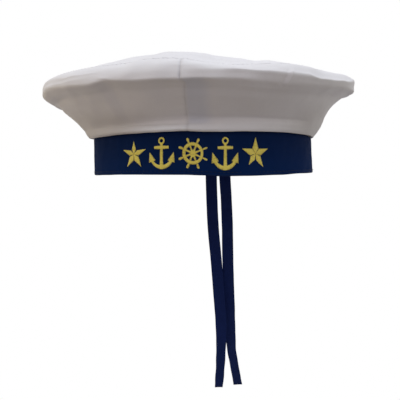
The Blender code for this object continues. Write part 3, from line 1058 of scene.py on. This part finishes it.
def ribbon_section():
    """Shares across and through the ribbon all round its section, with a thicker selvedge at both edges."""
    across = np.linspace(-1, 1, RIBBON_COLUMNS)
    selvedge = 1 + hump(np.abs(across), *SELVEDGE)
    through = np.concatenate((selvedge, -selvedge[::-1]))
    through[[0, RIBBON_COLUMNS - 1, RIBBON_COLUMNS, -1]] *= 0.5
    return np.concatenate((across, across[::-1])), through


def make_ribbon(name, rows, end_slant, material, seed):
    spine = curve_through(rows, RIBBON_STEPS, 3)
    run = length_along(spine[None, :, :3], 1)[0]
    back = HEAD_OVAL * BAND_HALF_WIDTH + SEAM_GAP + CAD_RIBBON_THICKNESS / 2 + spine[:, 2]
    middle = np.stack((spine[:, 1], back, -spine[:, 0]), axis=-1)
    turn = np.radians(spine[:, 3])
    side = np.stack((np.cos(turn), np.sin(turn), np.zeros_like(turn)), axis=-1)
    along = unit(np.gradient(middle, axis=0))
    face = np.cross(side, along)
    half_width = RIBBON_WIDTH / 2
    across, through = ribbon_section()
    free = smooth((run - RIBBON_HELD) / RIBBON_HELD)[:, None]
    bow = RIBBON_BOW * (1 - across[None, :] ** 2) * free
    dice = np.random.default_rng(seed)
    lag = RIBBON_RIPPLE_SLANT * across[None, :]
    ripple = sum(
        RIBBON_RIPPLE * np.sin(run[:, None] * 2 * pi / length + dice.uniform(0, 6) + lag)
        for length in RIBBON_RIPPLE_LENGTHS
    )
    through = through[None, :] * RIBBON_THICKNESS / 2 + bow + ripple * free
    slant = end_slant * across[None, :] * smooth((run - run[-1] + SLANTED_END) / SLANTED_END)[:, None]
    points = (
        middle[:, None]
        + side[:, None] * (half_width * across)[None, :, None]
        + face[:, None] * through[..., None]
        - along[:, None] * slant[..., None]
    )
    steps, ring = points.shape[:2]
    faces = grid_faces(grid_corners(steps, ring, wrap_rows=True), steps, ring).tolist()
    faces += [tuple(range(ring)), tuple(range(steps * ring - 1, steps * ring - ring - 1, -1))]
    girth = np.concatenate((across[:RIBBON_COLUMNS] + 1, 3 - across[RIBBON_COLUMNS:])) * half_width
    uvs = np.stack(np.meshgrid(run, girth, indexing="ij"), axis=-1)[..., ::-1].reshape(-1, 2)
    mesh = faces_mesh(name, points, faces, uvs)
    ribbon = new_object(name + "_cloth", mesh, material, name, slot="navy_ribbon")
    return ribbon


# ---------------------------------------------------------------- make the cap

white = crown_cloth()
navy = band_cloth()
ribbon_navy = ribbon_cloth()
white_thread = thread(
    "White thread", (0.70, 0.69, 0.71), (0.80, 0.79, 0.81), rough=0.6, specular=0.3, sheen=0.1
)
navy_thread = thread(
    "Navy thread", (0.008, 0.014, 0.05), (0.014, 0.022, 0.07), rough=0.5, specular=0.15, sheen=0.02
)
gold_thread = thread(
    "Gold thread", (0.90, 0.74, 0.11), (1.0, 0.89, 0.18), rough=0.4, specular=0.55, sheen=0.2
)

make_panels(white)
make_tip(white)
band = make_band(navy)
tip_seam_stitches(white_thread)
band_stitches(navy_thread)
make_embroidery(gold_thread)
make_ribbon("ribbon_left", RIBBON_LEFT, LEFT_END_SLANT, ribbon_navy, 51)
make_ribbon("ribbon_right", RIBBON_RIGHT, RIGHT_END_SLANT, ribbon_navy, 52)

# ---------------------------------------------------------------- camera

CAMERA_AZIMUTH = 6.61
CAMERA_DISTANCE = 0.560
EYE_HEIGHT = 0.0043
FOCAL_PIXELS = 650
PHOTO_SIDE = 400
AXIS_PIXEL = 203.5
HORIZON_PIXEL = 168.9
SENSOR = 36

camera = add_object("camera", bpy.data.cameras.new("camera"))
bpy.context.scene.camera = camera
camera.data.sensor_width = SENSOR
camera.data.lens = SENSOR * FOCAL_PIXELS / PHOTO_SIDE
camera.data.clip_start = 0.01
camera.data.clip_end = 30
turn = radians(CAMERA_AZIMUTH)
camera.location = (CAMERA_DISTANCE * sin(turn), -CAMERA_DISTANCE * cos(turn), EYE_HEIGHT)
pan = atan2(AXIS_PIXEL - PHOTO_SIDE / 2, FOCAL_PIXELS)
tilt = atan2(PHOTO_SIDE / 2 - HORIZON_PIXEL, FOCAL_PIXELS)
camera.rotation_euler = (radians(90) - tilt, 0, turn + pan)

# ---------------------------------------------------------------- floor and light

WHITE = (1, 1, 1)
FLOOR_HEIGHT = -0.24
FLOOR_CORNERS = ((-1, -1), (1, -1), (1, 1), (-1, 1))
# direction, sharpness and colour of the soft light from each side of the studio
ROOM = (
    ((1, 0, 0), 2, (0.47, 0.44, 0.35)),
    ((-1, 0, 0), 2, (0.73, 0.61, 0.40)),
    ((0, -1, 0), 2, (0.32, 0.298, 0.385)),
    ((0, -1, 0.35), 12, (0.37, 0.30, 0.14)),
    ((0, 1, 0), 2, (1.33, 1.30, 1.38)),
    ((0, 0, 1), 2, (1.19, 1.27, 1.43)),
    ((0, 0, -1), 2, (0.03, 0.02, 0.02)),
)
FLOOR_HALF_SIDE = 6.0
SOFTBOX_POWER = 2.0
SOFTBOX_SIZE = 1.4
SOFTBOX_PLACE = (0, -0.1, 1.3)


def make_floor():
    """A white floor that only the camera sees."""
    corners = [(x * FLOOR_HALF_SIDE, y * FLOOR_HALF_SIDE, FLOOR_HEIGHT) for x, y in FLOOR_CORNERS]
    mesh = bpy.data.meshes.new("floor")
    mesh.from_pydata(corners, [], [(0, 1, 2, 3)])
    n = new_material("Pale floor")
    n.tree.nodes.remove(n.tree.nodes["Principled BSDF"])
    glow = n.add("ShaderNodeEmission", WHITE, 1.0)
    n.link(glow.outputs[0], n.tree.nodes["Material Output"].inputs["Surface"])
    mesh.materials.append(n.owner)
    floor = add_object("floor", mesh)
    floor.visible_diffuse = False
    floor.visible_glossy = False
    floor.visible_shadow = False


def make_room():
    """Soft light all round, behind a white backdrop."""
    world = bpy.data.worlds.new("studio")
    bpy.context.scene.world = world
    n = Nodes(world)
    n.tree.nodes.clear()
    way = n.add("ShaderNodeTexCoord").outputs["Generated"]
    total = (0, 0, 0)
    for direction, sharpness, colour in ROOM:
        facing = n.vector_math("DOT_PRODUCT", way, Vector(direction).normalized())["Value"]
        strength = n.math("POWER", n.math("MAXIMUM", facing, 0.0), sharpness)
        share = n.vector_math("MULTIPLY", strength, colour)["Vector"]
        total = n.vector_math("ADD", total, share)["Vector"]
    light = n.add("ShaderNodeBackground", total)
    backdrop = n.add("ShaderNodeBackground", WHITE)
    seen = n.add("ShaderNodeLightPath").outputs["Is Camera Ray"]
    pick = n.add("ShaderNodeMixShader", seen, light.outputs[0], backdrop.outputs[0])
    n.add("ShaderNodeOutputWorld", pick.outputs[0])


def make_softbox():
    data = bpy.data.lights.new("softbox", "AREA")
    data.energy = SOFTBOX_POWER
    data.shape = "SQUARE"
    data.size = SOFTBOX_SIZE
    lamp = add_object("softbox", data)
    lamp.location = SOFTBOX_PLACE
    lamp.visible_camera = False


make_floor()
make_room()
make_softbox()
bpy.context.scene.view_settings.view_transform = "Standard"
